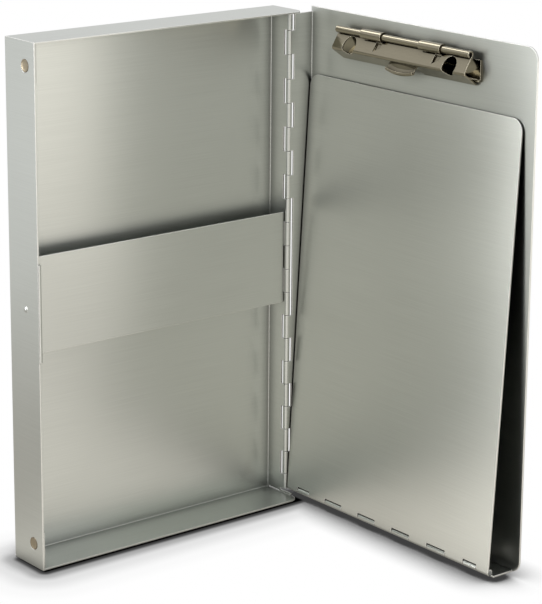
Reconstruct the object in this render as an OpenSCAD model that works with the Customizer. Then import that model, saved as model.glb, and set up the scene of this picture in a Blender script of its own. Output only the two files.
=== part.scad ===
// Storage clipboard in folded aluminium: a shallow tray with a hinged cover, a paper
// retainer strap inside the tray, and a writing plate and spring clip inside the cover.
// Drawn with the cover opened square to the tray and the case standing on its short side.

/* [Tray] */
// Outer width of the tray, across the back
tray_w = 163.8; // [140:0.1:240]
// Outer height of the tray, along the hinge
tray_h = 264; // [220:1:330]
// Outer depth of the tray
tray_d = 26; // [22:0.5:36]
// Thickness of the aluminium sheet
sheet_t = 0.8; // [0.6:0.05:1]
// Outer radius of a fold in the sheet
bend_r = 1.3; // [1.1:0.1:2]
// Length of the tabs that lap the side wall at each end
tab_len = 19.5; // [14:0.5:30]
// Radius of the loose corners beside the hinge
wall_corner_r = 5; // [2:0.5:6]

/* [Hinge] */
// Distance from the back of the tray to the hinge axis
hinge_back = 13.4; // [13:0.1:16]
// Radius of the hinge pins
pin_r = 0.8; // [0.6:0.05:1]
// Running clearance round a pin
pin_gap = 0.05; // [0.02:0.01:0.1]
// Length of one knuckle of the long hinge
knuckle_len = 12.7; // [10:0.1:16]
// Length of the first and last knuckles of the long hinge
end_knuckle_len = 8.5; // [6:0.1:10]
// Gap between neighbouring knuckles
knuckle_gap = 0.3; // [0.2:0.05:0.6]

/* [Cover] */
// Gap between the closed cover and the lip of the retainer strap
lid_gap = 0.35; // [0.25:0.05:2]
// Height of the bottom edge of the cover
cover_base = 2.8; // [2.4:0.1:4]
// Radius of the free corners of the cover
cover_corner_r = 6.5; // [3:0.5:10]

/* [Writing plate] */
// Distance from the free edge of the cover to that of the writing plate
plate_margin = 7.35; // [5:0.05:20]
// Height of cover left free above the writing plate, for the clip
plate_drop = 34.55; // [34:0.05:60]
// Gap between the hinge side of the plate and the main hinge axis
plate_inset = 2.3; // [2.1:0.1:4]
// Distance of the plate hinge behind the main hinge axis
plate_back = 1.3; // [1.1:0.1:3]
// Length of the first and last knuckles of the plate hinge
plate_end_knuckle = 8.6; // [6:0.1:10]
// Length of the first and last windows of the plate hinge
plate_end_window = 9.3; // [7:0.1:11]
// Radius of the top corners of the writing plate
plate_corner_r = 6.5; // [3:0.5:10]

/* [Retainer strap] */
// Height of the strap above and below its hinge knuckles
strap_over = 5.45; // [1:0.05:11]
// Clearance between the strap and the tray
strap_gap = 0.15; // [0.1:0.05:0.5]

/* [Clip] */
// Length of the jaw
jaw_len = 97.2; // [80:0.2:120]
// Distance of the middle of the clip from that of the writing plate, towards the hinge
clip_aside = 3.3; // [0:0.1:6]
// Thickness of the steel of the clip
clip_t = 0.8; // [0.6:0.05:1]
// Distance from the top of the cover down to the jaw pivot
jaw_drop = 8; // [7:0.5:12]
// Radius of the rolled tube that the jaw turns on
tube_r = 1.8; // [1.5:0.1:2.2]
// Length of each sleeve that holds the tube
sleeve_len = 15; // [10:0.5:20]
// Distance from the middle of the clip to the middle of each sleeve
sleeve_at = 21.5; // [16:0.5:30]
// Diameter of the access holes in the jaw
access_d = 8.6; // [6:0.2:10]
// Width of the thumb lever
lever_w = 20; // [14:0.5:26]

/* [Rivets] */
// Diameter of a rivet head
rivet_d = 6.4; // [5:0.1:8]

/* [Hidden] */
$fn = 48;
e = 0.01;

alu = "#c9c9bf";
alu_warm = "#c4beb2";
nickel = "#a39a88";
tan_rivet = "#b0a692";
steel = "#8f9094";

// the long hinge: knuckle 1 is at the top
knuckles = 2 * floor(((tray_h - 2 * cover_base - 2 * end_knuckle_len) / knuckle_len + 1) / 2) + 1;
mid_knuckles = knuckles - 2;
hinge_len = mid_knuckles * knuckle_len + 2 * end_knuckle_len;
hinge_top = tray_h / 2 + hinge_len / 2;
bore_r = pin_r + pin_gap;
knuckle_r = bore_r + sheet_t;
notch = knuckle_r + 0.5;
axis_x = tray_w + bore_r;
axis_y = -hinge_back;
// the tray's knuckle nearest the middle; the strap turns on its two neighbours
strap_mid = 2 * floor(knuckles / 4) + 1;
strap_knuckles = [strap_mid - 1, strap_mid + 1];

// the cover, in its own frame: x away from the hinge axis, y out through the plate
cover_w = axis_x;
cover_top = tray_h;
cover_rise = tray_d - hinge_back + strap_gap + sheet_t + lid_gap;
leaf_top = hinge_top;

// the writing plate, hinged on the bottom flange of the cover
plate_w = cover_w - plate_margin - plate_inset;
plate_rise = cover_rise - plate_back;
plate_axis_z = cover_base + sheet_t + bore_r;
plate_h = cover_top - plate_drop - plate_axis_z;
flange_end = plate_inset + plate_w + 2.4;
plate_knuckles = 13;
plate_pitch = (plate_w - 2 * plate_end_knuckle - 2 * plate_end_window) / (plate_knuckles - 4);
plate_seat = 0.3;
plate_lean = asin((plate_rise + bore_r - plate_seat) / plate_h);

// the strap lies against the back of the hinge barrel
strap_h = 3 * knuckle_len + 2 * strap_over;
strap_z = knuckle_z(strap_mid + 1) + (knuckle_len - strap_h) / 2;
strap_y = axis_y + bore_r;

// side rivets
rivet_up = 12;
rivet_back = 17.8;
shank_r = 1.5;
head_t = 0.5;
head_sink = 0.35;
tail_r = 2.4;
tail_t = 0.7;
side_dimple_r = 1.6;
side_dimple_h = 0.45;

// the clip, in the cover's frame; v is the height above the inside of the cover
clip_mid = plate_inset + plate_w / 2 - clip_aside;
tube_v = 5;
tube_z = cover_top - jaw_drop;
tube_gap = 0.05;
sleeve_r = tube_r + tube_gap + clip_t;
tube_wall = 0.6;
spring_r = tube_r - tube_wall - 0.2;
ridge_v = 9.3;
ridge_z = tube_z - 9.3;
tip_v = 0.75;
tip_z = tube_z - 15;
base_over = 2.6;
base_low = tube_z - 13.2;
base_high = tube_z - 2.7;
base_lip = 2.1;
access_at = jaw_len / 2 - 12;
lever_slot = lever_w + 3;
lever_v = 3.3;
lever_z = tube_z - 8.5;
lever_pin_r = 1;
lever_barrel_r = lever_pin_r + pin_gap + 0.8;
lever_tip = [2.0, tube_z - 17.8];
ear_gap = 0.4;
ear_t = 1;
sleeve_gap = 0.4;
clip_head_d = 5.4;
clip_head_t = 0.9;

// the frame's origin: middle of the footprint, at the height the tray stands on
low_x = -side_dimple_h;
high_x = axis_x + cover_rise + sheet_t + clip_head_t;
low_y = axis_y - cover_w;
origin_x = (low_x + high_x) / 2;
origin_y = low_y / 2;

// top of long-hinge knuckle k, and its owner
function knuckle_z(k) = hinge_top - (k < 2 ? 0 : k > knuckles ? hinge_len
    : end_knuckle_len + (k - 2) * knuckle_len);
function is_strap(k) = k == strap_knuckles[0] || k == strap_knuckles[1];
function is_cover(k) = k % 2 == 0 && !is_strap(k);
function tray_list() = [for (k = [1 : knuckles]) if (k % 2 == 1) k];
function cover_list() = [for (k = [1 : knuckles]) if (is_cover(k)) k];
function not_cover_list() = [for (k = [1 : knuckles]) if (!is_cover(k)) k];
function even_list() = [for (k = [1 : knuckles]) if (k % 2 == 0) k];
// start of plate-hinge knuckle i, counted from the main hinge
function plate_x(i) = plate_inset + (i == 0 ? 0 : i == 1 ? plate_end_knuckle
    : i >= plate_knuckles ? plate_w : i == plate_knuckles - 1 ? plate_w - plate_end_knuckle
    : plate_end_knuckle + plate_end_window + (i - 2) * plate_pitch);

// rectangle with its corner at the origin rounded
module quarter_round(size, r) {
    difference() {
        square(size);
        corner_cut(r);
    }
}

// section of a folded sheet: legs a along x and b along y, outer corner at the origin
module fold(a, b) {
    difference() {
        quarter_round([a, b], bend_r);
        translate([sheet_t, sheet_t]) quarter_round([a, b], bend_r - sheet_t);
    }
}

// sheet section along a list of points, rounded at each bend
module strip(points, t) {
    for (i = [0 : len(points) - 2]) {
        d = points[i + 1] - points[i];
        translate(points[i]) rotate(atan2(d[1], d[0])) translate([0, -t / 2]) square([norm(d), t]);
    }
    for (i = [1 : len(points) - 2]) translate(points[i]) circle(t / 2);
}

// cuts a corner of a sheet to radius r; the corner is at the origin, the sheet in +x +y
module corner_cut(r) {
    difference() {
        translate([-1, -1]) square(r + 1);
        translate([r, r]) circle(r);
    }
}

// one knuckle of a hinge along z, standing on the origin
module knuckle(len) {
    difference() {
        translate([0, 0, knuckle_gap / 2]) cylinder(r = knuckle_r, h = len - knuckle_gap);
        cylinder(r = bore_r, h = len);
    }
}

module long_knuckles(list) {
    for (k = list) translate([0, 0, knuckle_z(k + 1)]) knuckle(knuckle_height(k));
}
function knuckle_height(k) = k == 1 || k == knuckles ? end_knuckle_len : knuckle_len;

// puts a drawing of the whole case on the frame's origin
module place() { translate([-origin_x, -origin_y, 0]) children(); }
// puts a drawing made in the cover's frame at its opened place
module on_cover() { place() translate([axis_x, axis_y, 0]) rotate([0, 0, -90]) children(); }
// a section drawn in v, z, run along the cover from x0 to x1
module along_cover(x0, x1) {
    translate([x0, cover_rise, 0]) rotate([90, 0, 0]) rotate([0, 90, 0])
        linear_extrude(x1 - x0) children();
}

/* the tray */

module tray_channel() {
    translate([0, 0, bend_r]) linear_extrude(tray_h - 2 * bend_r) {
        mirror([0, 1]) fold(tray_w / 2 + e, tray_d);
        translate([tray_w, 0]) rotate(180) fold(tray_w / 2, hinge_back);
    }
    translate([0, -tray_d, 0]) cube([sheet_t, tray_d - bend_r, tray_h]);
}

module end_wall() {
    difference() {
        translate([e, 0, 0]) rotate([90, 0, 90]) linear_extrude(tray_w - e) mirror([1, 0])
            fold(tray_d, 2 * bend_r);
        translate([tray_w, -tray_d, -e]) linear_extrude(sheet_t + 1) rotate(90) corner_cut(wall_corner_r);
        // back corners, rounded like the folds between the two ends
        translate([0, 0, -e]) linear_extrude(2 * bend_r + 1) {
            mirror([0, 1]) corner_cut(bend_r);
            translate([tray_w, 0]) rotate(180) corner_cut(bend_r);
        }
    }
    // tab lapped inside the side wall
    translate([sheet_t, -tray_d + 0.6, 0]) cube([sheet_t, tray_d - 1.2 - bend_r, tab_len]);
    // turned lip beside the hinge
    translate([tray_w - sheet_t, -tray_d + wall_corner_r + 1, 0])
        cube([sheet_t, tray_d - wall_corner_r - hinge_back + notch, 2]);
}

module both_ends() {
    children();
    translate([0, 0, tray_h]) mirror([0, 0, 1]) children();
}

module tray_shell() {
    place() color(alu) difference() {
        union() {
            tray_channel();
            both_ends() end_wall();
            translate([axis_x, axis_y, 0]) long_knuckles(tray_list());
            // dimple that the strap snaps behind
            translate([0, axis_y - 1.3, strap_z + strap_h / 2]) rotate([0, -90, 0])
                cylinder(r1 = side_dimple_r, r2 = 0.5, h = side_dimple_h);
        }
        // leaf cut back round the other leaves' knuckles, and past the ends of the hinge
        for (k = even_list()) leaf_notch(knuckle_z(k + 1), knuckle_len);
        leaf_notch(2, hinge_top - hinge_len - 2 + knuckle_gap / 2);
        leaf_notch(hinge_top - knuckle_gap / 2, tray_h - hinge_top - 2 + knuckle_gap / 2);
        translate([axis_x, axis_y, 0]) cylinder(r = bore_r, h = tray_h);
        both_ends() side_rivet_hole();
    }
}

module leaf_notch(z, h) {
    translate([tray_w - 2 * sheet_t, axis_y - 1, z - knuckle_gap / 2])
        cube([3 * sheet_t, notch + 1, h + knuckle_gap]);
}

module side_rivet_hole() {
    translate([-e, -rivet_back, rivet_up]) rotate([0, 90, 0]) {
        cylinder(r = shank_r, h = 3 * sheet_t);
        cylinder(d = rivet_d, h = head_sink + e);
    }
}

module side_rivet() {
    color(tan_rivet) translate([0, -rivet_back, rivet_up]) rotate([0, 90, 0]) {
        translate([0, 0, head_sink - head_t]) {
            cylinder(d1 = rivet_d - 0.5, d2 = rivet_d - 0.1, h = 0.15);
            translate([0, 0, 0.15 - e]) cylinder(d = rivet_d - 0.1, h = head_t - 0.15 + e);
        }
        translate([0, 0, head_sink - e]) cylinder(r = shank_r - 0.02, h = 2 * sheet_t - head_sink + 2 * e);
        translate([0, 0, 2 * sheet_t]) cylinder(r1 = tail_r, r2 = tail_r - 0.5, h = tail_t);
    }
}

module tray_rivet_bottom() { place() side_rivet(); }
module tray_rivet_top() { place() translate([0, 0, tray_h]) mirror([0, 0, 1]) side_rivet(); }

module main_hinge_pin() {
    place() color(steel) translate([axis_x, axis_y, hinge_top - hinge_len + 0.2])
        cylinder(r = pin_r, h = hinge_len - 0.4);
}

/* the retainer strap */

module retainer_strap() {
    x0 = sheet_t + strap_gap;
    lip_y = -tray_d - strap_gap - sheet_t;
    place() color(alu) difference() {
        union() {
            translate([0, 0, strap_z]) linear_extrude(strap_h) {
                translate([x0, strap_y + sheet_t]) mirror([0, 1])
                    fold(axis_x - x0, strap_y + sheet_t - lip_y - bend_r);
                translate([x0 + sheet_t, lip_y]) mirror([1, 0]) fold(x0 + sheet_t, bend_r + sheet_t);
            }
            translate([axis_x, axis_y, 0]) long_knuckles(strap_knuckles);
        }
        for (k = tray_list()) translate([axis_x - notch, axis_y - notch, knuckle_z(k + 1) - knuckle_gap / 2])
            cube([2 * notch, 2 * notch, knuckle_height(k) + knuckle_gap]);
        translate([axis_x, axis_y, 0]) cylinder(r = bore_r, h = tray_h);
    }
}

/* the cover */

module cover_shell() {
    on_cover() color(alu) difference() {
        union() {
            cover_plate();
            // side leaf, folded from the plate
            translate([bore_r, cover_rise + sheet_t, cover_base]) linear_extrude(leaf_top - cover_base)
                mirror([0, 1]) fold(3 * bend_r, cover_rise + sheet_t);
            // bottom flange, folded from the plate
            translate([plate_inset, 0, cover_base]) rotate([90, 0, 90])
                linear_extrude(flange_end - plate_inset) translate([cover_rise + sheet_t, 0]) mirror([1, 0])
                    fold(plate_rise + sheet_t, 3 * bend_r);
            long_knuckles(cover_list());
            plate_hinge() for (i = [1 : 2 : plate_knuckles - 2]) plate_knuckle(i);
        }
        cylinder(r = bore_r, h = tray_h);
        plate_hinge() translate([0, 0, -1]) cylinder(r = bore_r, h = tray_w + 2);
        for (k = not_cover_list()) translate([0, -1, knuckle_z(k + 1) - knuckle_gap / 2])
            cube([2 * notch, notch + 1, knuckle_height(k) + knuckle_gap]);
        translate([0, -1, cover_base - e]) cube([2 * notch, notch + 1, hinge_top - hinge_len - cover_base + 2 * e]);
        plate_hinge() for (i = [0 : 2 : plate_knuckles - 1]) plate_notch(i);
        for (s = [-1, 1]) clip_rivet_axis(s) translate([0, 0, -1]) cylinder(r = shank_r, h = 4);
    }
}

// the plate itself, clear of the two fold lines, which the folded strips draw
module cover_plate() {
    translate([0, cover_rise + sheet_t, 0]) rotate([90, 0, 0]) linear_extrude(sheet_t) difference() {
        translate([bore_r, cover_base]) square([cover_w - bore_r, cover_top - cover_base]);
        translate([bore_r - e, cover_base - e]) square([bend_r + e, leaf_top - cover_base + e]);
        translate([plate_inset, cover_base - e]) square([flange_end - plate_inset, bend_r + e]);
        translate([cover_w, cover_base]) rotate(90) corner_cut(cover_corner_r);
        translate([cover_w, cover_top]) rotate(180) corner_cut(cover_corner_r);
    }
}

// frame of the plate hinge: its axis along z, the writing plate's front towards -y
module plate_hinge() { translate([0, plate_back, plate_axis_z]) rotate([90, 0, 90]) children(); }
module plate_knuckle(i) { translate([0, 0, plate_x(i)]) knuckle(plate_x(i + 1) - plate_x(i)); }
module plate_notch(i) {
    translate([-notch, -notch, plate_x(i) - knuckle_gap / 2])
        cube([2 * notch, 2 * notch, plate_x(i + 1) - plate_x(i) + knuckle_gap]);
}

module plate_hinge_pin() {
    on_cover() color(steel) plate_hinge() translate([0, 0, plate_inset + 0.2])
        cylinder(r = pin_r, h = plate_w - 0.4);
}

module writing_plate() {
    on_cover() color(alu_warm) plate_hinge() rotate([0, 0, -plate_lean]) rotate([0, -90, -90])
        difference() {
            union() {
                rotate([90, 0, 0]) translate([0, 0, bore_r]) linear_extrude(sheet_t) difference() {
                    translate([plate_inset, 0]) square([plate_w, plate_h]);
                    translate([plate_inset, plate_h]) rotate(-90) corner_cut(plate_corner_r);
                    translate([plate_inset + plate_w, plate_h]) rotate(180) corner_cut(plate_corner_r);
                }
                for (i = [0 : 2 : plate_knuckles - 1]) rotate([90, 0, 90]) plate_knuckle(i);
            }
            rotate([90, 0, 90]) cylinder(r = bore_r, h = tray_w + 2);
            rotate([90, 0, 90]) for (i = [1 : 2 : plate_knuckles - 2]) plate_notch(i);
        }
}

/* the clip */

// frame of a rivet in the cover: its axis along z from the inside face outwards
module clip_rivet_axis(s) {
    translate([clip_mid + s * access_at, cover_rise, lever_z]) rotate([-90, 0, 0]) children();
}
// a cylinder along the cover about v, z
module rod(x0, x1, v, z, r) { along_cover(x0, x1) translate([-v, z]) circle(r); }

module clip_base() {
    half = jaw_len / 2 + base_over;
    ear_x = lever_w / 2 + 1 + ear_gap;
    on_cover() color(nickel) difference() {
        union() {
            along_cover(clip_mid - half, clip_mid + half)
                translate([-clip_t, base_low]) square([clip_t, base_high - base_low]);
            for (s = [-1, 1]) {
                // front lip, open in the middle for the lever
                along_cover(clip_mid + (s < 0 ? -half : lever_slot / 2), clip_mid + (s < 0 ? -lever_slot / 2 : half))
                    translate([-base_lip, base_low]) square([base_lip, clip_t]);
                // sleeve round the tube of the jaw
                along_cover(clip_mid + s * sleeve_at - sleeve_len / 2, clip_mid + s * sleeve_at + sleeve_len / 2) {
                    translate([-tube_v, tube_z]) circle(sleeve_r);
                    strip([[-clip_t / 2, base_high - 1], [-clip_t / 2, base_high],
                           [-tube_v + (sleeve_r - clip_t / 2) * cos(45), tube_z - (sleeve_r - clip_t / 2) * sin(45)]],
                          clip_t);
                }
                // ear that carries the lever's pin
                along_cover(clip_mid + s * ear_x - (s < 0 ? ear_t : 0), clip_mid + s * ear_x + (s < 0 ? 0 : ear_t)) {
                    translate([-lever_v, lever_z]) circle(lever_pin_r + 1.1);
                    translate([-lever_v, lever_z - lever_pin_r - 1.1]) square([lever_v, 2 * lever_pin_r + 2.2]);
                }
            }
        }
        rod(0, cover_w, tube_v, tube_z, tube_r + tube_gap);
        rod(0, cover_w, lever_v, lever_z, lever_pin_r + 0.02);
        for (s = [-1, 1]) clip_rivet_axis(s) translate([0, 0, -5]) cylinder(r = shank_r, h = 10);
    }
}

module clip_jaw() {
    reach = norm([ridge_v - tube_v, tube_z - ridge_z]);
    tilt = atan2(ridge_v - tube_v, tube_z - ridge_z) - asin((tube_r - clip_t / 2) / reach);
    start = [-tube_v - (tube_r - clip_t / 2) * cos(tilt), tube_z + (tube_r - clip_t / 2) * sin(tilt)];
    x0 = clip_mid - jaw_len / 2;
    x1 = clip_mid + jaw_len / 2;
    on_cover() color(nickel) difference() {
        union() {
            difference() {
                along_cover(x0, x1) strip([start, [-ridge_v + clip_t / 2, ridge_z], [-tip_v, tip_z]], clip_t);
                // windows that the sleeves pass through
                for (s = [-1, 1])
                    rod(clip_mid + s * sleeve_at - sleeve_len / 2 - sleeve_gap,
                        clip_mid + s * sleeve_at + sleeve_len / 2 + sleeve_gap, tube_v, tube_z, sleeve_r + 2.4);
            }
            rod(x0, x1, tube_v, tube_z, tube_r);
        }
        rod(x0 - 1, x1 + 1, tube_v, tube_z, tube_r - tube_wall);
        for (s = [-1, 1]) translate([clip_mid + s * access_at, cover_rise - 4, ridge_z + 1.4])
            rotate([90, 0, 0]) cylinder(d = access_d, h = ridge_v);
        // opening in the front for the lever
        along_cover(clip_mid - lever_slot / 2, clip_mid + lever_slot / 2)
            translate([-ridge_v - 2, tip_z - 2]) square([ridge_v + 2, ridge_z - tip_z + 2.4]);
    }
}

module clip_torsion_spring() {
    on_cover() color(steel)
        rod(clip_mid - jaw_len / 2 + 2, clip_mid + jaw_len / 2 - 2, tube_v, tube_z, spring_r);
}

module clip_lever() {
    roll_r = 1.1;
    on_cover() color(nickel) difference() {
        union() {
            rod(clip_mid - lever_w / 2 - 1, clip_mid + lever_w / 2 + 1, lever_v, lever_z, lever_barrel_r);
            along_cover(clip_mid - lever_w / 2, clip_mid + lever_w / 2)
                strip([[-lever_v + 0.4, lever_z - lever_barrel_r + 0.5], [-lever_v - 1.2, tip_z - 0.6],
                       [-lever_tip[0] - roll_r + 0.4, lever_tip[1]]], clip_t);
            rod(clip_mid - lever_w / 2 + 2, clip_mid + lever_w / 2 - 2, lever_tip[0], lever_tip[1], roll_r);
        }
        rod(0, cover_w, lever_v, lever_z, lever_pin_r + pin_gap);
        rod(0, cover_w, lever_tip[0], lever_tip[1], roll_r - 0.7);
        // rounded lower corners
        translate([0, cover_rise + 5, 0]) rotate([90, 0, 0]) linear_extrude(20) for (s = [-1, 1])
            translate([clip_mid + s * lever_w / 2, lever_tip[1] - roll_r])
                rotate(s > 0 ? 90 : 0) corner_cut(3);
    }
}

module clip_lever_pin() {
    ear_x = lever_w / 2 + 1 + ear_gap + ear_t;
    on_cover() color(steel) rod(clip_mid - ear_x - 0.3, clip_mid + ear_x + 0.3, lever_v, lever_z, lever_pin_r);
}

module clip_rivet(s) {
    on_cover() color(tan_rivet) clip_rivet_axis(s) {
        translate([0, 0, -clip_t - clip_head_t]) cylinder(d1 = clip_head_d - 1, d2 = clip_head_d, h = clip_head_t);
        translate([0, 0, -clip_t - e]) cylinder(r = shank_r - 0.02, h = clip_t + sheet_t + 2 * e);
        translate([0, 0, sheet_t]) cylinder(d1 = clip_head_d, d2 = clip_head_d - 1, h = clip_head_t);
    }
}
module clip_rivet_left() { clip_rivet(-1); }
module clip_rivet_right() { clip_rivet(1); }

tray_shell();
tray_rivet_top();
tray_rivet_bottom();
main_hinge_pin();
retainer_strap();
cover_shell();
plate_hinge_pin();
writing_plate();
clip_base();
clip_jaw();
clip_torsion_spring();
clip_lever();
clip_lever_pin();
clip_rivet_left();
clip_rivet_right();
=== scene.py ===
import bmesh
import bpy
import math
from mathutils import Matrix, Vector


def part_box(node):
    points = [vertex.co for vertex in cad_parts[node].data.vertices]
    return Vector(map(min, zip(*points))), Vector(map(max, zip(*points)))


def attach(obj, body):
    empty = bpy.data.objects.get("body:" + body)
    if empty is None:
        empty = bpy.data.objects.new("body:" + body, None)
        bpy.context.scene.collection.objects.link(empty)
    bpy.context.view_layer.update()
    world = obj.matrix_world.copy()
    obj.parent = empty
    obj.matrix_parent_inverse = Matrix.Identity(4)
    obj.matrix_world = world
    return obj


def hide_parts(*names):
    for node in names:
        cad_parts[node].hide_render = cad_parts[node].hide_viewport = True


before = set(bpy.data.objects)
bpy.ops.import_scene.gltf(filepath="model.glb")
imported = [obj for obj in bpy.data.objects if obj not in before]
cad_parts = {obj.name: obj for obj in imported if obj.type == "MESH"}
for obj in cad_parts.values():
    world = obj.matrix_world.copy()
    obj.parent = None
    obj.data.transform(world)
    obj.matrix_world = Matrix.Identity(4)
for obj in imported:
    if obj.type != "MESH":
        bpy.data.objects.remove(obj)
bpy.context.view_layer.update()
print("frame loaded:", len(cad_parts), "nodes")

mm = 0.001


viewSet = {
    "eye": (-681.7, -845.5, 444.3),   # mm
    "turn": 38.215,                   # degrees to the right of +Y
    "tip": -14.612,
    "roll": 0.26,
    "sensor": 36,
    "lens": 139.3,
    "shift": (0.05, -0.08),
    "clip": (0.05, 50),
}


def makeCamera(s):
    bpy.ops.object.camera_add()
    camera = bpy.context.object
    camera.name = "viewCamera"
    turn, tip, roll = (math.radians(s[k]) for k in ("turn", "tip", "roll"))
    ahead = Vector((math.sin(turn) * math.cos(tip), math.cos(turn) * math.cos(tip), math.sin(tip)))
    right = Vector((math.cos(turn), -math.sin(turn), 0))
    up = right.cross(ahead)
    rolledRight = right * math.cos(roll) + up * math.sin(roll)
    rolledUp = up * math.cos(roll) - right * math.sin(roll)
    axes = Matrix((rolledRight, rolledUp, -ahead)).transposed()
    camera.matrix_world = Matrix.Translation(Vector(s["eye"]) * mm) @ axes.to_4x4()
    camera.data.sensor_width = s["sensor"]
    camera.data.lens = s["lens"]
    camera.data.shift_x, camera.data.shift_y = s["shift"]
    camera.data.clip_start, camera.data.clip_end = s["clip"]
    bpy.context.scene.camera = camera


lightSet = {
    "worldLevel": 0.9,
    "aim": (0, 0, 0.13),
    "lamps": {                        # place in metres, width and height, watts
        "backPanel": ((-1.02, 0.63, 0.32), (0.4, 0.6), 4.3),
        "frontPanel": ((-0.7, -1.3, 1.1), (0.4, 0.4), 2.0),
        "glintPanel": ((-0.1, 0.73, 0.92), (0.3, 0.2), 0.7),
    },
}


def makeWorld(s):
    world = bpy.data.worlds.new("studio")
    bpy.context.scene.world = world
    world.use_nodes = True
    room = world.node_tree.nodes["Background"]
    room.inputs["Color"].default_value = (1, 1, 1, 1)
    room.inputs["Strength"].default_value = s["worldLevel"]


def makeLights(s):
    for name, (place, size, watts) in s["lamps"].items():
        toAim = Vector(s["aim"]) - Vector(place)
        turned = toAim.to_track_quat("-Z", "Y").to_euler()
        bpy.ops.object.light_add(type="AREA", location=place, rotation=turned)
        lamp = bpy.context.object
        lamp.name = name
        lamp.data.energy = watts
        lamp.data.shape = "RECTANGLE"
        lamp.data.size, lamp.data.size_y = size
        lamp.visible_camera = False


# a socket takes a link where the value is another node's output
def fillSocket(links, socket, value):
    if isinstance(value, bpy.types.NodeSocket):
        links.new(value, socket)
    elif value is not None:
        socket.default_value = value


def mathNode(nodes, links, operation, a, b=None):
    node = nodes.new("ShaderNodeMath")
    node.operation = operation
    for socket, value in zip(node.inputs, (a, b)):
        fillSocket(links, socket, value)
    return node.outputs[0]


def vectorNode(nodes, links, operation, a, b=None):
    node = nodes.new("ShaderNodeVectorMath")
    node.operation = operation
    for socket, value in zip(node.inputs, (a, b)):
        fillSocket(links, socket, value)
    measures = operation in ("DISTANCE", "DOT_PRODUCT", "LENGTH")
    return node.outputs["Value" if measures else "Vector"]


def rangeNode(nodes, links, value, span, result=(0.0, 1.0), kind="LINEAR"):
    node = nodes.new("ShaderNodeMapRange")
    node.interpolation_type = kind
    fillSocket(links, node.inputs["Value"], value)
    for label, limit in zip(("From Min", "From Max", "To Min", "To Max"), (*span, *result)):
        fillSocket(links, node.inputs[label], limit)
    return node.outputs[0]


def mixNode(nodes, links, share, first, second):
    node = nodes.new("ShaderNodeMix")
    for index, value in ((0, share), (2, first), (3, second)):
        fillSocket(links, node.inputs[index], value)
    return node.outputs[0]


def mixColourNode(nodes, links, share, first, second):
    node = nodes.new("ShaderNodeMix")
    node.data_type = "RGBA"
    for index, value in ((0, share), (6, first), (7, second)):
        fillSocket(links, node.inputs[index], value)
    return node.outputs[2]


def greyRamp(nodes, links, share, stops):
    ramp = nodes.new("ShaderNodeValToRGB")
    ramp.color_ramp.interpolation = "EASE"
    while len(ramp.color_ramp.elements) < len(stops):
        ramp.color_ramp.elements.new(0.5)
    for element, (at, level) in zip(ramp.color_ramp.elements, stops):
        element.position = at
        element.color = (level, level, level, 1)
    links.new(share, ramp.inputs[0])
    return ramp.outputs[0]


# the camera sees white paper with a painted contact shadow, and the metal mirrors paper with painted
# pools of light and shade
floorSet = {
    "colour": (0.8, 0.8, 0.8, 1),
    "size": 8.0,
    "drop": 0.2 * mm,
    "shadePoolPlace": (-0.22, 0.22, 0),    # painted shade on the paper behind the tray
    "shadePoolRadius": (0.07, 0.5),
    "shadePoolTone": (0.49, 0.465, 0.42, 1),
    "openTone": (0.99, 0.995, 0.985, 1),
    "warmTone": (1.05, 0.995, 0.915, 1),
    "towards": (0.7, -0.7, 0),        # the front right
    "warmSpan": (-0.5, 0.0),
    # painted light level of the mirrored paper, by metres towards the front right
    "levels": ((-2.0, 0.74), (-0.35, 0.93), (-0.05, 1.0), (0.15, 0.74),
               (0.4, 0.87), (0.75, 1.06), (1.15, 2.0)),
    "lightPoolPlace": (-0.15, -0.07, 0),   # painted pool of light on the paper in front of the tray
    "lightPoolRadius": (0.05, 0.3),
    "glow": 1.52,
    "contactReach": 0.022,            # how far the contact shadow spreads
    "contactSamples": 16,
    "contactSpan": ((0.45, 1.0), (0.05, 1.0)),
    "contactMirrored": 0.6,           # share of the contact shadow that the metal mirrors
    "trayMiddle": (-0.0073, 0.0725, 0),
    "trayHalf": (0.0818, 0.0102, 1),  # the rectangle under the tray that its soft shadow starts from
    "trayReach": 0.04,
    "trayShadow": ((0, 0.0), (0.06, 0.06), (0.15, 0.42), (0.34, 0.78), (0.7, 0.96), (1.0, 1.0)),
}


def mirroredTone(nodes, links, s, spot, lean):
    # painted shade pool and warmer tone on the paper, which only the metal mirrors
    fromShadePool = vectorNode(nodes, links, "DISTANCE", spot, s["shadePoolPlace"])
    outOfShadePool = rangeNode(nodes, links, fromShadePool, s["shadePoolRadius"], kind="SMOOTHSTEP")
    warming = rangeNode(nodes, links, lean, s["warmSpan"])
    paper = mixColourNode(nodes, links, warming, s["openTone"], s["warmTone"])
    return mixColourNode(nodes, links, outOfShadePool, s["shadePoolTone"], paper)


def mirroredLevel(nodes, links, s, spot, lean):
    # painted light: the mirrored paper is brighter or darker by where it lies, and brighter still in a
    # pool in front of the tray
    first, last = s["levels"][0][0], s["levels"][-1][0]
    most = max(level for _, level in s["levels"])
    stops = [((at - first) / (last - first), level / most) for at, level in s["levels"]]
    share = rangeNode(nodes, links, lean, (first, last))
    level = mathNode(nodes, links, "MULTIPLY", greyRamp(nodes, links, share, stops), most)
    fromLightPool = vectorNode(nodes, links, "DISTANCE", spot, s["lightPoolPlace"])
    glow = rangeNode(nodes, links, fromLightPool, s["lightPoolRadius"], (s["glow"], 1.0), "SMOOTHSTEP")
    return mathNode(nodes, links, "MULTIPLY", level, glow)


def contactShade(nodes, links, s):
    contact = nodes.new("ShaderNodeAmbientOcclusion")
    contact.samples = s["contactSamples"]
    contact.inputs["Distance"].default_value = s["contactReach"]
    return rangeNode(nodes, links, contact.outputs["AO"], *s["contactSpan"])


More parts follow.
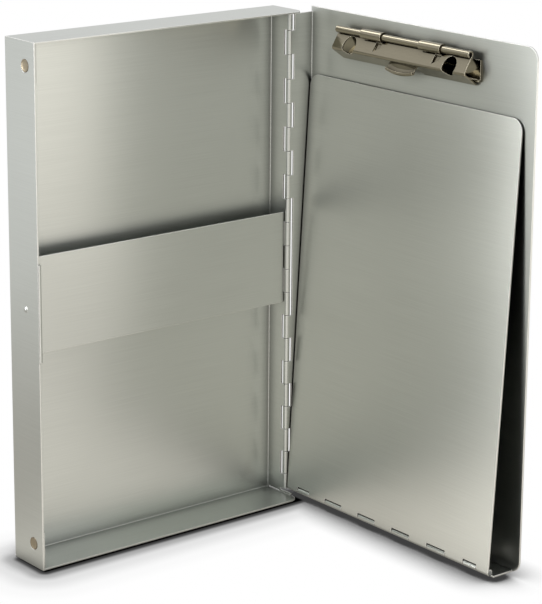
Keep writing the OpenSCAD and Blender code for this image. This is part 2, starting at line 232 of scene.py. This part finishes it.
def trayShade(nodes, links, s, spot):
    fromMiddle = vectorNode(nodes, links, "SUBTRACT", spot, s["trayMiddle"])
    folded = vectorNode(nodes, links, "ABSOLUTE", fromMiddle)
    beyond = vectorNode(nodes, links, "SUBTRACT", folded, s["trayHalf"])
    outside = vectorNode(nodes, links, "MAXIMUM", beyond)
    gap = vectorNode(nodes, links, "LENGTH", outside)
    share = mathNode(nodes, links, "DIVIDE", gap, s["trayReach"])
    return greyRamp(nodes, links, share, s["trayShadow"])


def floorMaterial(s):
    material = bpy.data.materials.new("floorPaper")
    material.use_nodes = True
    nodes, links = material.node_tree.nodes, material.node_tree.links
    nodes.clear()
    spot = nodes.new("ShaderNodeTexCoord").outputs["Object"]
    lean = vectorNode(nodes, links, "DOT_PRODUCT", spot, s["towards"])
    tone = mirroredTone(nodes, links, s, spot, lean)
    level = mirroredLevel(nodes, links, s, spot, lean)
    contact = contactShade(nodes, links, s)
    lighter = mathNode(nodes, links, "MULTIPLY", contact, s["contactMirrored"])
    lighter = mathNode(nodes, links, "ADD", lighter, 1 - s["contactMirrored"])
    mirrored = mathNode(nodes, links, "MULTIPLY", level, lighter)
    shade = mathNode(nodes, links, "MINIMUM", contact, trayShade(nodes, links, s, spot))
    path = nodes.new("ShaderNodeLightPath")
    isCamera, isGlossy = path.outputs["Is Camera Ray"], path.outputs["Is Glossy Ray"]
    glow = nodes.new("ShaderNodeEmission")
    links.new(mixColourNode(nodes, links, isCamera, tone, (1, 1, 1, 1)), glow.inputs["Color"])
    links.new(mixNode(nodes, links, isCamera, mirrored, shade), glow.inputs["Strength"])
    paper = nodes.new("ShaderNodeBsdfDiffuse")
    paper.inputs["Color"].default_value = s["colour"]
    surface = nodes.new("ShaderNodeMixShader")
    links.new(mathNode(nodes, links, "MAXIMUM", isCamera, isGlossy), surface.inputs[0])
    links.new(paper.outputs[0], surface.inputs[1])
    links.new(glow.outputs[0], surface.inputs[2])
    out = nodes.new("ShaderNodeOutputMaterial")
    links.new(surface.outputs[0], out.inputs["Surface"])
    return material


def makeFloor(s):
    bpy.ops.mesh.primitive_plane_add(size=s["size"], location=(0, 0, -s["drop"]))
    floor = bpy.context.object
    floor.name = "studioFloor"
    floor.data.materials.append(floorMaterial(s))


bpy.context.scene.view_settings.view_transform = "Standard"
makeCamera(viewSet)
makeWorld(lightSet)
makeLights(lightSet)
makeFloor(floorSet)
print("camera, light and floor made")


def newGroup(name, inputs, outputs):
    group = bpy.data.node_groups.new(name, "ShaderNodeTree")
    for label, kind, value in inputs:
        socket = group.interface.new_socket(name=label, in_out="INPUT", socket_type=kind)
        socket.default_value = value
    for label, kind in outputs:
        group.interface.new_socket(name=label, in_out="OUTPUT", socket_type=kind)
    return group, group.nodes.new("NodeGroupInput"), group.nodes.new("NodeGroupOutput")


def placeGroup(nodes, links, group, values):
    node = nodes.new("ShaderNodeGroup")
    node.node_tree = group
    for label, value in values.items():
        fillSocket(links, node.inputs[label], value)
    return node.outputs


grainSet = {
    "level": 0.7,                     # a face whose normal rises more than this counts as level
    "detail": 3.0,
    "patchScale": 14.0,
    "patchDetail": 2.0,
}


def noiseNode(nodes, links, place, scale, detail):
    noise = nodes.new("ShaderNodeTexNoise")
    noise.inputs["Scale"].default_value = scale
    noise.inputs["Detail"].default_value = detail
    links.new(place, noise.inputs["Vector"])
    return noise.outputs["Fac"]


def makeGrainGroup(s):
    group, start, end = newGroup(
        "brushedGrain",
        [("Fine", "NodeSocketFloat", 9000.0), ("Long", "NodeSocketFloat", 60.0)],
        [("Height", "NodeSocketFloat"), ("Patches", "NodeSocketFloat")])
    nodes, links = group.nodes, group.links
    place = nodes.new("ShaderNodeTexCoord")
    spot = nodes.new("ShaderNodeSeparateXYZ")
    facing = nodes.new("ShaderNodeSeparateXYZ")
    links.new(place.outputs["Object"], spot.inputs[0])
    links.new(place.outputs["Normal"], facing.inputs[0])
    rise = mathNode(nodes, links, "ABSOLUTE", facing.outputs["Z"])
    flat = mathNode(nodes, links, "GREATER_THAN", rise, s["level"])
    # z crosses the grain, or y on a level face
    across = mixNode(nodes, links, flat, spot.outputs["Z"], spot.outputs["Y"])
    upright = mathNode(nodes, links, "SUBTRACT", 1.0, flat)
    along = mathNode(nodes, links, "ADD", spot.outputs["X"],
                     mathNode(nodes, links, "MULTIPLY", spot.outputs["Y"], upright))
    join = nodes.new("ShaderNodeCombineXYZ")
    links.new(mathNode(nodes, links, "MULTIPLY", along, start.outputs["Long"]), join.inputs[0])
    links.new(mathNode(nodes, links, "MULTIPLY", across, start.outputs["Fine"]), join.inputs[1])
    height = noiseNode(nodes, links, join.outputs[0], 1.0, s["detail"])
    patches = noiseNode(nodes, links, place.outputs["Object"], s["patchScale"], s["patchDetail"])
    links.new(height, end.inputs["Height"])
    links.new(patches, end.inputs["Patches"])
    return group


# painted shade: the metal's colour darkens where other surfaces are near
nearSet = {
    "samples": 8,
    "span": (0.35, 0.95),             # how open a place is where it is darkest, and where it is clear
}


def makeNearGroup(s):
    group, start, end = newGroup(
        "nearShade",
        [("Colour", "NodeSocketColor", (1, 1, 1, 1)), ("Reach", "NodeSocketFloat", 0.01),
         ("Least", "NodeSocketFloat", 0.3)],
        [("Colour", "NodeSocketColor")])
    nodes, links = group.nodes, group.links
    near = nodes.new("ShaderNodeAmbientOcclusion")
    near.samples = s["samples"]
    links.new(start.outputs["Reach"], near.inputs["Distance"])
    shade = rangeNode(nodes, links, near.outputs["AO"], s["span"], (start.outputs["Least"], 1.0))
    product = nodes.new("ShaderNodeVectorMath")
    product.operation = "SCALE"
    links.new(start.outputs["Colour"], product.inputs[0])
    links.new(shade, product.inputs["Scale"])
    links.new(product.outputs[0], end.inputs["Colour"])
    return group


# a mask along rounded edges, where the metals get their painted rim colour
edgeSet = {
    "samples": 6,
    "span": (0.997, 0.95),            # how level the metal is where the rim starts, and where it is full
}


def makeEdgeGroup(s):
    group, start, end = newGroup(
        "sheetEdge", [("Radius", "NodeSocketFloat", 0.0004)],
        [("Rim", "NodeSocketFloat"), ("Normal", "NodeSocketVector")])
    nodes, links = group.nodes, group.links
    soft = nodes.new("ShaderNodeBevel")
    soft.samples = s["samples"]
    links.new(start.outputs["Radius"], soft.inputs["Radius"])
    shape = nodes.new("ShaderNodeNewGeometry")
    bend = vectorNode(nodes, links, "DOT_PRODUCT", soft.outputs[0], shape.outputs["Normal"])
    links.new(rangeNode(nodes, links, bend, s["span"]), end.inputs["Rim"])
    links.new(soft.outputs[0], end.inputs["Normal"])
    return group


grainGroup = makeGrainGroup(grainSet)
nearGroup = makeNearGroup(nearSet)
edgeGroup = makeEdgeGroup(edgeSet)

# rim is the colour painted along the edges: a painted highlight on the sheets, dark on the rivet heads
brushed = {"roughSpread": 0.04, "fine": 2600, "long": 22, "bump": 0.2,
           "edge": 0.45, "reach": 8, "least": 0.5, "rim": (0.97, 0.96, 0.93)}
finishSet = {                         # edge and reach in mm
    "aluminium": {**brushed, "dark": (0.51, 0.527, 0.50), "light": (0.652, 0.672, 0.64),
                  "rough": 0.31, "stretch": 0.6},
    "plateAluminium": {**brushed, "dark": (0.528, 0.54, 0.507), "light": (0.676, 0.692, 0.65),
                       "rough": 0.34, "stretch": 0.5},
    "nickel": {"dark": (0.25, 0.225, 0.165), "light": (0.33, 0.30, 0.225), "rough": 0.11,
               "roughSpread": 0.05, "stretch": 0.0, "fine": 3000, "long": 200, "bump": 0.06,
               "edge": 0.22, "reach": 5, "least": 0.35, "rim": (0.85, 0.79, 0.64)},
    "rivet": {"dark": (0.27, 0.228, 0.16), "light": (0.36, 0.31, 0.225), "rough": 0.35,
              "roughSpread": 0.08, "stretch": 0.0, "fine": 2500, "long": 2500, "bump": 0.1,
              "edge": 0.6, "reach": 2, "least": 0.4, "rim": (0.13, 0.11, 0.08)},
    "steel": {"dark": (0.35, 0.35, 0.35), "light": (0.48, 0.48, 0.48), "rough": 0.3,
              "roughSpread": 0.06, "stretch": 0.0, "fine": 3000, "long": 3000, "bump": 0.1,
              "edge": 0.1, "reach": 3, "least": 0.4, "rim": (0.6, 0.6, 0.6)},
}
grainShare = 0.7                      # the rest of the tone comes from the patches
grainDepth = 0.02 * mm
brushing = (0.0, 0.05, 1.0)           # brushed across, so reflections blur up and down


def metalMaterial(name, s):
    material = bpy.data.materials.new(name)
    material.use_nodes = True
    nodes, links = material.node_tree.nodes, material.node_tree.links
    shader = nodes["Principled BSDF"]
    shader.inputs["Metallic"].default_value = 1.0
    shader.inputs["Anisotropic"].default_value = s["stretch"]
    blur = nodes.new("ShaderNodeCombineXYZ")
    for socket, value in zip(blur.inputs, brushing):
        socket.default_value = value
    links.new(blur.outputs[0], shader.inputs["Tangent"])

    grain = placeGroup(nodes, links, grainGroup, {"Fine": s["fine"], "Long": s["long"]})
    fine = mathNode(nodes, links, "MULTIPLY", grain["Height"], grainShare)
    broad = mathNode(nodes, links, "MULTIPLY", grain["Patches"], 1 - grainShare)
    blend = mathNode(nodes, links, "ADD", fine, broad)
    tone = mixColourNode(nodes, links, blend, (*s["dark"], 1), (*s["light"], 1))
    edge = placeGroup(nodes, links, edgeGroup, {"Radius": s["edge"] * mm})
    # painted highlight along the edges; the rivet heads' rims are painted dark
    paintedRim = mixColourNode(nodes, links, edge["Rim"], tone, (*s["rim"], 1))
    # painted shade where other surfaces come within reach, down to least
    near = placeGroup(nodes, links, nearGroup,
                      {"Colour": paintedRim, "Reach": s["reach"] * mm, "Least": s["least"]})
    links.new(near["Colour"], shader.inputs["Base Color"])

    rough = mathNode(nodes, links, "MULTIPLY", grain["Patches"], s["roughSpread"])
    rough = mathNode(nodes, links, "ADD", rough, s["rough"] - s["roughSpread"] / 2)
    links.new(rough, shader.inputs["Roughness"])
    bump = nodes.new("ShaderNodeBump")
    bump.inputs["Strength"].default_value = s["bump"]
    bump.inputs["Distance"].default_value = grainDepth
    links.new(grain["Height"], bump.inputs["Height"])
    links.new(edge["Normal"], bump.inputs["Normal"])
    links.new(bump.outputs[0], shader.inputs["Normal"])
    return material


finishes = {name: metalMaterial(name, s) for name, s in finishSet.items()}

nodeFinish = {
    "tray_shell": "aluminium", "retainer_strap": "aluminium", "cover_shell": "aluminium",
    "writing_plate": "plateAluminium", "main_hinge_pin": "steel", "plate_hinge_pin": "steel",
    "clip_rivet_left": "rivet", "clip_rivet_right": "rivet",
    "clip_torsion_spring": "steel", "clip_lever_pin": "steel",
}
for node, finish in nodeFinish.items():
    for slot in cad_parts[node].material_slots:
        slot.material = finishes[finish]
print("finishes set")


def selectOnly(piece):
    bpy.ops.object.select_all(action="DESELECT")
    piece.select_set(True)
    bpy.context.view_layer.objects.active = piece


def pickVerts(piece, test):
    bpy.ops.mesh.select_all(action="DESELECT")
    mesh = bmesh.from_edit_mesh(piece.data)
    for vert in mesh.verts:
        vert.select = test(vert.co)
    mesh.select_flush(True)
    bmesh.update_edit_mesh(piece.data)


def pickFaces(piece, test):
    bpy.ops.mesh.select_all(action="DESELECT")
    bpy.ops.mesh.select_mode(type="FACE")
    mesh = bmesh.from_edit_mesh(piece.data)
    for face in mesh.faces:
        face.select = test(face)
    mesh.select_flush_mode()
    bmesh.update_edit_mesh(piece.data)


def settle(piece):
    selectOnly(piece)
    bpy.ops.object.transform_apply(location=True, rotation=True, scale=True)


def copyPiece(piece, name, step):
    selectOnly(piece)
    bpy.ops.object.duplicate()
    other = bpy.context.object
    other.name = name
    bpy.ops.transform.translate(value=step)
    settle(other)
    return other


def applyModifier(piece, kind, **values):
    selectOnly(piece)
    modifier = piece.modifiers.new(kind.lower(), kind)
    for key, value in values.items():
        setattr(modifier, key, value)
    bpy.ops.object.modifier_apply(modifier=modifier.name)


def combine(piece, other, operation):
    applyModifier(piece, "BOOLEAN", operation=operation, object=other, solver="EXACT")
    bpy.data.objects.remove(other)


def pairOf(piece, step):
    return piece, copyPiece(piece, piece.name + "Copy", step)


# pairs of tools, all the first ones and then all the second ones
def combinePairs(piece, pairs, operation):
    for tools in zip(*pairs):
        for tool in tools:
            combine(piece, tool, operation)


def arc(centre, radius, start, stop, steps):
    angles = [math.radians(start + (stop - start) * i / steps) for i in range(steps + 1)]
    return [(centre[0] + radius * math.cos(a), centre[1] + radius * math.sin(a)) for a in angles]


def roundedCorner(before, corner, after, radius, steps):
    b, c, a = Vector(before), Vector(corner), Vector(after)
    u, v = (b - c).normalized(), (a - c).normalized()
    half = u.angle(v) / 2
    middle = c + (u + v).normalized() * (radius / math.sin(half))
    inset = radius / math.tan(half)
    first, last = c + u * inset - middle, c + v * inset - middle
    points = []
    for i in range(steps + 1):
        t = i / steps
        points.append(tuple(middle + (first * (1 - t) + last * t).normalized() * radius))
    return points


# a point is drawn along the line, the line is drawn along y, and the sheet gets its thickness
def foldedSheet(name, line, start, stop, steps, thickness):
    bpy.ops.object.select_all(action="DESELECT")
    bpy.ops.mesh.primitive_plane_add(size=mm, location=(line[0][0], start, line[0][1]))
    piece = bpy.context.object
    piece.name = name
    bpy.ops.object.mode_set(mode="EDIT")
    bpy.ops.mesh.merge(type="CENTER")
    for (x0, z0), (x1, z1) in zip(line, line[1:]):
        bpy.ops.mesh.extrude_region_move(TRANSFORM_OT_translate={"value": (x1 - x0, 0, z1 - z0)})
    bpy.ops.mesh.select_all(action="SELECT")
    stride = (0, (stop - start) / steps, 0)
    for _ in range(steps):
        bpy.ops.mesh.extrude_region_move(TRANSFORM_OT_translate={"value": stride})
    bpy.ops.mesh.select_all(action="SELECT")
    bpy.ops.mesh.remove_doubles(threshold=1e-6)
    bpy.ops.mesh.normals_make_consistent(inside=False)
    bpy.ops.object.mode_set(mode="OBJECT")
    settle(piece)
    applyModifier(piece, "SOLIDIFY", thickness=thickness, offset=0, use_even_offset=True)
    return piece


def block(name, low, high):
    bpy.ops.object.select_all(action="DESELECT")
    low, high = Vector(low), Vector(high)
    bpy.ops.mesh.primitive_cube_add(size=1, location=(low + high) / 2)
    piece = bpy.context.object
    piece.name = name
    piece.scale = high - low
    settle(piece)
    return piece


def rod(name, centre, radius, length, sides=48):
    bpy.ops.object.select_all(action="DESELECT")
    bpy.ops.mesh.primitive_cylinder_add(vertices=sides, radius=radius, depth=length,
                                        location=centre, rotation=(0, math.pi / 2, 0))
    piece = bpy.context.object
    piece.name = name
    settle(piece)
    return piece


softenSet = {
    "segments": 2,
    "sharp": 40,                      # degrees; sharper bends get a bevel
    "smooth": 50,                     # degrees; gentler bends are shaded smooth
    "weight": 100,
}


def finishPiece(piece, finish, body, node, edge):
    s = softenSet
    applyModifier(piece, "BEVEL", width=edge, segments=s["segments"], limit_method="ANGLE",
                  angle_limit=math.radians(s["sharp"]), harden_normals=False)
    selectOnly(piece)
    bpy.ops.object.shade_smooth_by_angle(angle=math.radians(s["smooth"]))
    applyModifier(piece, "WEIGHTED_NORMAL", keep_sharp=True, weight=s["weight"], mode="FACE_AREA")
    piece.data.materials.clear()
    piece.data.materials.append(finishes[finish])
    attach(piece, body)
    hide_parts(node)


clipSet = {
    "tubeOut": 5 * mm,                # the rolled tube's middle, from the inside of the cover
    "tubeDown": 1.8 * mm,
    "sleeveAt": 21.5 * mm,            # on both sides of the clip's middle
}

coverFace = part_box("clip_base")[1].x          # inside of the cover
jawLow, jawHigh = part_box("clip_jaw")
tubeX, tubeZ = coverFace - clipSet["tubeOut"], jawHigh.z - clipSet["tubeDown"]
clipMid = (jawLow.y + jawHigh.y) / 2
sleeveStep = Vector((0, 2 * clipSet["sleeveAt"], 0))


# from out and up, measured from the tube, to x and z
def outward(line):
    return [(tubeX - v, tubeZ + z) for v, z in line]


jawSet = {
    "sheet": 0.7 * mm,
    "roll": 1.45 * mm,                # middle of the rolled tube's wall
    "rollOpen": -62,                  # degrees where the roll ends, 0 faces out from the cover
    "rollSteps": 20,
    "ridge": (3.9 * mm, -9.3 * mm),   # out from the tube, and up
    "tip": (-4.25 * mm, -15 * mm),
    "ridgeBend": 1.1 * mm,
    "bendSteps": 6,
    "cutter": 20 * mm,
    "cutterOut": 8 * mm,
    "holeAt": 36.6 * mm,
    "holeUp": 2.4 * mm,               # above the ridge
    "hole": 4.6 * mm,
    "windowAside": 5.2 * mm,          # from the middle of its sleeve
    "windowDown": 1.9 * mm,
    "windowHalf": 2.1 * mm,
    "windowTall": 3.4 * mm,           # at the right, and more at the left
    "windowSlope": 2.1 * mm,
    "windowSplay": 0.5 * mm,
    "windowInner": 0.1 * mm,          # the cutter stops this far out from the tube's middle
    "notch": 12.5 * mm,
    "notchHigh": 3.7 * mm,
    "notchSides": 64,
    "soften": 0.12 * mm,
}


def makeJaw(s):
    reach = math.hypot(*s["ridge"])
    lean = math.degrees(math.atan2(s["ridge"][0], -s["ridge"][1]) + math.asin(s["roll"] / reach))
    roll = arc((0, 0), s["roll"], s["rollOpen"], 180 + lean, s["rollSteps"])
    bend = roundedCorner(roll[-1], s["ridge"], s["tip"], s["ridgeBend"], s["bendSteps"])
    line = outward(roll + bend + [s["tip"]])
    piece = foldedSheet("clipJaw", line, jawLow.y, jawHigh.y, 1, s["sheet"])

    holePlace = (tubeX - s["cutterOut"], clipMid - s["holeAt"], tubeZ + s["ridge"][1] + s["holeUp"])
    hole = rod("hole", holePlace, s["hole"], s["cutter"])
    holes = pairOf(hole, (0, 2 * s["holeAt"], 0))

    at = clipMid + clipSet["sleeveAt"] - s["windowAside"]
    top = tubeZ - s["windowDown"]
    window = block("window", (tubeX - s["cutterOut"], at - s["windowHalf"], top - s["windowTall"]),
                   (tubeX - s["windowInner"], at + s["windowHalf"], top))
    bpy.ops.object.mode_set(mode="EDIT")
    pickVerts(window, lambda co: co.z < top - s["windowTall"] / 2 and co.y > at)
    bpy.ops.transform.translate(value=(0, s["windowSplay"], -s["windowSlope"]))
    bpy.ops.object.mode_set(mode="OBJECT")
    windows = pairOf(window, -sleeveStep)
    combinePairs(piece, (holes, windows), "DIFFERENCE")

    notchPlace = (tubeX, clipMid, tubeZ + s["tip"][1])
    notch = rod("notch", notchPlace, s["notch"], s["cutter"], s["notchSides"])
    bpy.ops.object.mode_set(mode="EDIT")
    bpy.ops.mesh.select_all(action="SELECT")
    bpy.ops.transform.resize(value=(1, 1, s["notchHigh"] / s["notch"]), center_override=notchPlace)
    bpy.ops.object.mode_set(mode="OBJECT")
    combine(piece, notch, "DIFFERENCE")
    finishPiece(piece, "nickel", "jaw", "clip_jaw", s["soften"])


baseSet = {
    "sheet": 0.8 * mm,
    "low": -13.2 * mm,
    "high": -2.7 * mm,
    "lip": 2.1 * mm,
    "lipBend": 0.7 * mm,
    "lipGap": 11.5 * mm,
    "gapOut": 6 * mm,
    "gapUp": (-1 * mm, 2 * mm),
    "gapClear": 0.02 * mm,
    "bendSteps": 4,
    "sleeve": 2.35 * mm,              # middle of a sleeve's wall
    "sleeveSheet": 0.65 * mm,
    "sleeveLength": 15 * mm,
    "sleeveTurn": (178, -52),
    "sleeveSteps": 18,
    "neckBend": 0.9 * mm,
    "neckUp": (-2 * mm, -1 * mm),     # from the plate's upper edge
    "neckShare": 0.1,
    "inPlate": 0.3 * mm,              # bridges and ears end this far from the cover, inside the plate
    "tailAt": (-7.4 * mm, -3.0 * mm),     # along, from the middle of its sleeve
    "tailIn": (1.35 * mm, 1.75 * mm),     # from the tube's middle towards the cover
    "tailUp": (-8.6 * mm, -1.7 * mm),
    "tailLean": 0.601,                # out for each mm down, along the inside of the jaw
    "bridgeIn": 1.5 * mm,
    "bridgeUp": (-2.4 * mm, -1.9 * mm),
    "earAt": 11.9 * mm,
    "earSheet": 1 * mm,
    "earOut": 0.2 * mm,
    "earUp": (-10.6 * mm, -6.4 * mm),
    "soften": 0.1 * mm,
}


def makeBase(s):
    low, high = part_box("clip_base")
    half = s["sheet"] / 2
    back = half - clipSet["tubeOut"]            # middle of the plate, out from the tube
    lipZ = s["low"] + half
    bend = roundedCorner((back + s["lip"], lipZ), (back, lipZ), (back, s["high"]),
                         s["lipBend"], s["bendSteps"])
    line = outward([(back + s["lip"] - half, lipZ)] + bend + [(back, s["high"])])
    piece = foldedSheet("clipBase", line, low.y, high.y, 1, s["sheet"])
    gapLow, gapHigh = (tubeZ + s["low"] + up for up in s["gapUp"])
    gap = block("gap", (tubeX - s["gapOut"], clipMid - s["lipGap"], gapLow),
                (coverFace - s["sheet"] - s["gapClear"], clipMid + s["lipGap"], gapHigh))
    combine(piece, gap, "DIFFERENCE")

    middle = clipMid - clipSet["sleeveAt"]
    curl = arc((0, 0), s["sleeve"], *s["sleeveTurn"], s["sleeveSteps"])
    neckLow, neckHigh = (s["high"] + up for up in s["neckUp"])
    neck = roundedCorner((back, neckHigh), (back, s["sleeve"] * s["neckShare"]), curl[0],
                         s["neckBend"], s["bendSteps"])
    line = outward([(back, neckLow)] + neck[:-1] + curl)
    sleeve = foldedSheet("sleeve", line, middle - s["sleeveLength"] / 2, middle + s["sleeveLength"] / 2,
                         1, s["sleeveSheet"])
    sleeves = pairOf(sleeve, sleeveStep)

    near, far = (middle + along for along in s["tailAt"])
    inner, outer = (tubeX + deep for deep in s["tailIn"])
    foot, top = (tubeZ + up for up in s["tailUp"])
    tail = block("tail", (inner, near, foot), (outer, far, top))
    bpy.ops.object.mode_set(mode="EDIT")
    pickVerts(tail, lambda co: co.z < (foot + top) / 2)
    bpy.ops.transform.translate(value=(-s["tailLean"] * (top - foot), 0, 0))
    bpy.ops.object.mode_set(mode="OBJECT")
    tails = pairOf(tail, sleeveStep)

    under, over = (tubeZ + up for up in s["bridgeUp"])
    bridge = block("bridge", (tubeX + s["bridgeIn"], near, under),
                   (coverFace - s["inPlate"], far, over))
    bridges = pairOf(bridge, sleeveStep)

    earLow, earHigh = (tubeZ + up for up in s["earUp"])
    earMid = clipMid - s["earAt"]
    ear = block("ear", (tubeX - s["earOut"], earMid - s["earSheet"] / 2, earLow),
                (coverFace - s["inPlate"], earMid + s["earSheet"] / 2, earHigh))
    ears = pairOf(ear, (0, 2 * s["earAt"], 0))
    combinePairs(piece, (sleeves, tails, bridges, ears), "UNION")
    finishPiece(piece, "nickel", "cover", "clip_base", s["soften"])


leverSet = {
    "sheet": 0.7 * mm,
    "pin": (-1.7 * mm, -8.5 * mm),    # out and up from the tube
    "barrel": 1.45 * mm,
    "barrelTurn": (200, -30),
    "barrelSteps": 14,
    "elbow": (-0.5 * mm, -13.8 * mm),
    "elbowBend": 1.5 * mm,
    "elbowSteps": 6,
    "end": (0.5 * mm, -15.9 * mm),
    "rim": 0.75 * mm,
    "rimTurn": (170, 420),
    "rimSteps": 12,
    "width": 19.6 * mm,
    "steps": 14,
    "crescent": 1.5 * mm,             # how far the rim rises at its two ends
    "crescentFrom": -12.6 * mm,       # only what is lower than this rises
    "soften": 0.1 * mm,
}


def makeLever(s):
    barrel = arc(s["pin"], s["barrel"], *s["barrelTurn"], s["barrelSteps"])
    bend = roundedCorner(barrel[-1], s["elbow"], s["end"], s["elbowBend"], s["elbowSteps"])
    rimMiddle = (s["end"][0] + s["rim"], s["end"][1])
    rim = arc(rimMiddle, s["rim"], *s["rimTurn"], s["rimSteps"])
    start, half = clipMid - s["width"] / 2, s["width"] / 2
    piece = foldedSheet("clipLever", outward(barrel + bend + rim), start, clipMid + half,
                        s["steps"], s["sheet"])
    bpy.ops.object.mode_set(mode="EDIT")
    for i in range(s["steps"] + 1):
        at = start + s["width"] * i / s["steps"]
        share = ((at - clipMid) / half) ** 2
        pickVerts(piece, lambda co: abs(co.y - at) < 0.1 * mm and co.z < tubeZ + s["crescentFrom"])
        bpy.ops.transform.translate(value=(0, 0, s["crescent"] * share))
    bpy.ops.object.mode_set(mode="OBJECT")
    finishPiece(piece, "nickel", "lever", "clip_lever", s["soften"])


makeJaw(jawSet)
makeBase(baseSet)
makeLever(leverSet)
print("clip made")


rivetSet = {
    "head": 3.15 * mm,
    "headSheet": 0.5 * mm,
    "rings": (0.45 * mm, 0.25 * mm, 1.2 * mm),     # from the head's rim inwards
    "dish": 0.12 * mm,
    "dishMore": 0.3,                  # share of the dish again, in the middle
    "shank": 1.45 * mm,
    "shankLength": 1.24 * mm,
    "shoulder": 0.01 * mm,
    "tail": 2.4 * mm,
    "tailTaper": 0.8,
    "soften": 0.14 * mm,
}


def extrudeAcross(length):
    bpy.ops.mesh.extrude_region_move(TRANSFORM_OT_translate={"value": (length, 0, 0)})


def makeRivet(s, name, node):
    low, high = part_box(node)
    y, z = (low.y + high.y) / 2, (low.z + high.z) / 2
    piece = rod(name, (low.x + s["headSheet"] / 2, y, z), s["head"], s["headSheet"])
    bpy.ops.object.mode_set(mode="EDIT")
    pickFaces(piece, lambda face: face.normal.x < -0.9)
    rim, slope, middle = s["rings"]
    bpy.ops.mesh.inset(thickness=rim)
    bpy.ops.mesh.inset(thickness=slope)
    bpy.ops.transform.translate(value=(s["dish"], 0, 0))
    bpy.ops.mesh.inset(thickness=middle)
    bpy.ops.transform.translate(value=(s["dish"] * s["dishMore"], 0, 0))
    pickFaces(piece, lambda face: face.normal.x > 0.9)
    bpy.ops.mesh.inset(thickness=s["head"] - s["shank"])
    extrudeAcross(s["shankLength"])
    extrudeAcross(s["shoulder"])
    bpy.ops.transform.resize(value=(1, s["tail"] / s["shank"], s["tail"] / s["shank"]))
    extrudeAcross(high.x - low.x - s["headSheet"] - s["shankLength"] - s["shoulder"])
    bpy.ops.transform.resize(value=(1, s["tailTaper"], s["tailTaper"]))
    bpy.ops.object.mode_set(mode="OBJECT")
    return piece


topRivet = makeRivet(rivetSet, "trayRivetTop", "tray_rivet_top")
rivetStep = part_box("tray_rivet_bottom")[0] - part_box("tray_rivet_top")[0]
bottomRivet = copyPiece(topRivet, "trayRivetBottom", rivetStep)
finishPiece(topRivet, "rivet", "tray", "tray_rivet_top", rivetSet["soften"])
finishPiece(bottomRivet, "rivet", "tray", "tray_rivet_bottom", rivetSet["soften"])
print("rivets made")
